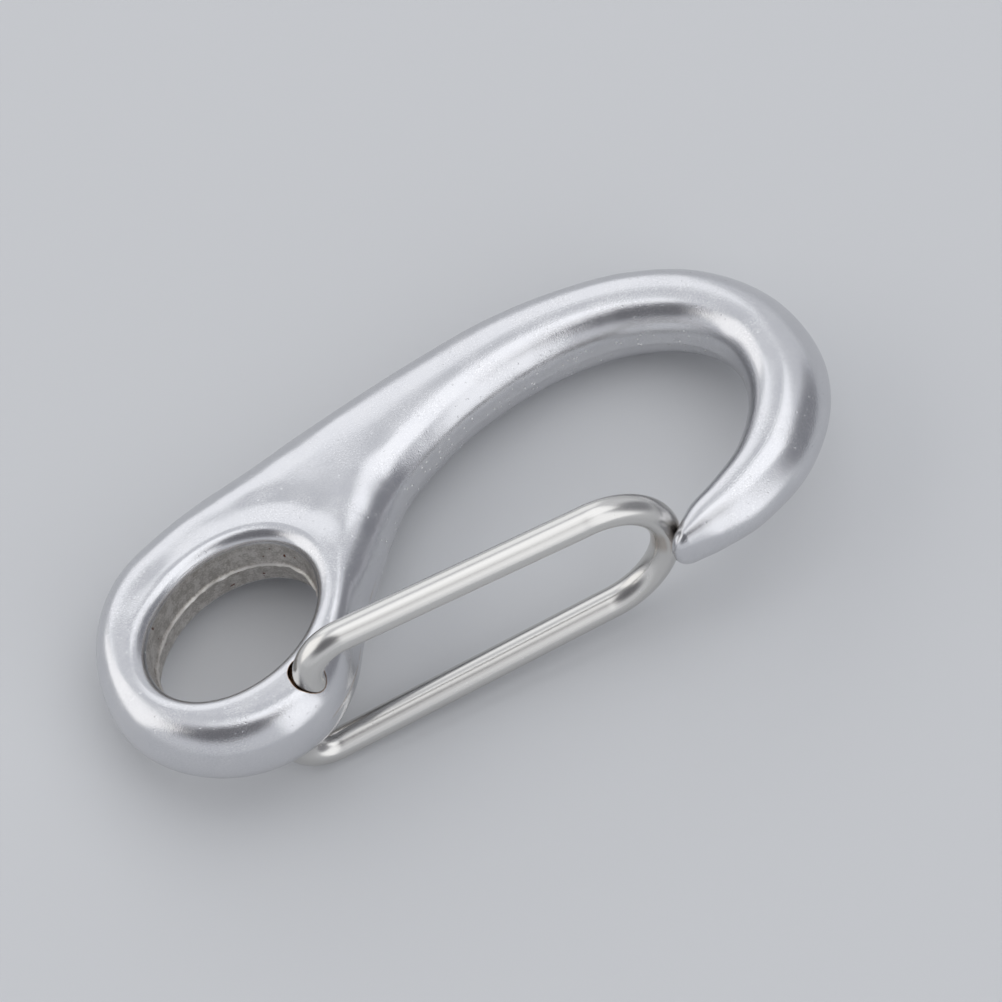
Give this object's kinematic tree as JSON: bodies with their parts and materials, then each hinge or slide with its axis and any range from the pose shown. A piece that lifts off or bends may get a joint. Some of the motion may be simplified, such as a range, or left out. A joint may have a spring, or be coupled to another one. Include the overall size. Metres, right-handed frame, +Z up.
{
  "type": "dog tag clip",
  "caption": "Egg-shaped cast steel spring clip with an oval eye at one end and a bent wire gate that closes on the hook's nose.",
  "frame": {"origin": "centre of the bounding box on the ground that the clip lies on", "axes": "+X along the clip from the eye to the hook, +Y from the gate to the spine, +Z up"},
  "size_m": [0.0512, 0.0228, 0.0127],
  "materials": {
    "cast_steel": "cast stainless steel, tumbled to a satin sheen",
    "wire_steel": "drawn stainless steel wire, smooth and bright"
  },
  "bodies": {
    "casting": {"body": "cast_steel"},
    "gate": {"wire_gate": "wire_steel"}
  },
  "joints": [
    {"name": "gate_hinge", "type": "hinge", "parent": "casting", "child": "gate", "pos_m": [-0.01479, -0.00866, 0.00638], "axis": [-0.014, 0.2264, 0.9739], "range_deg": [0, 28], "stiffness_Nm_per_rad": 0.2, "springref_deg": -11.46}
  ]
}
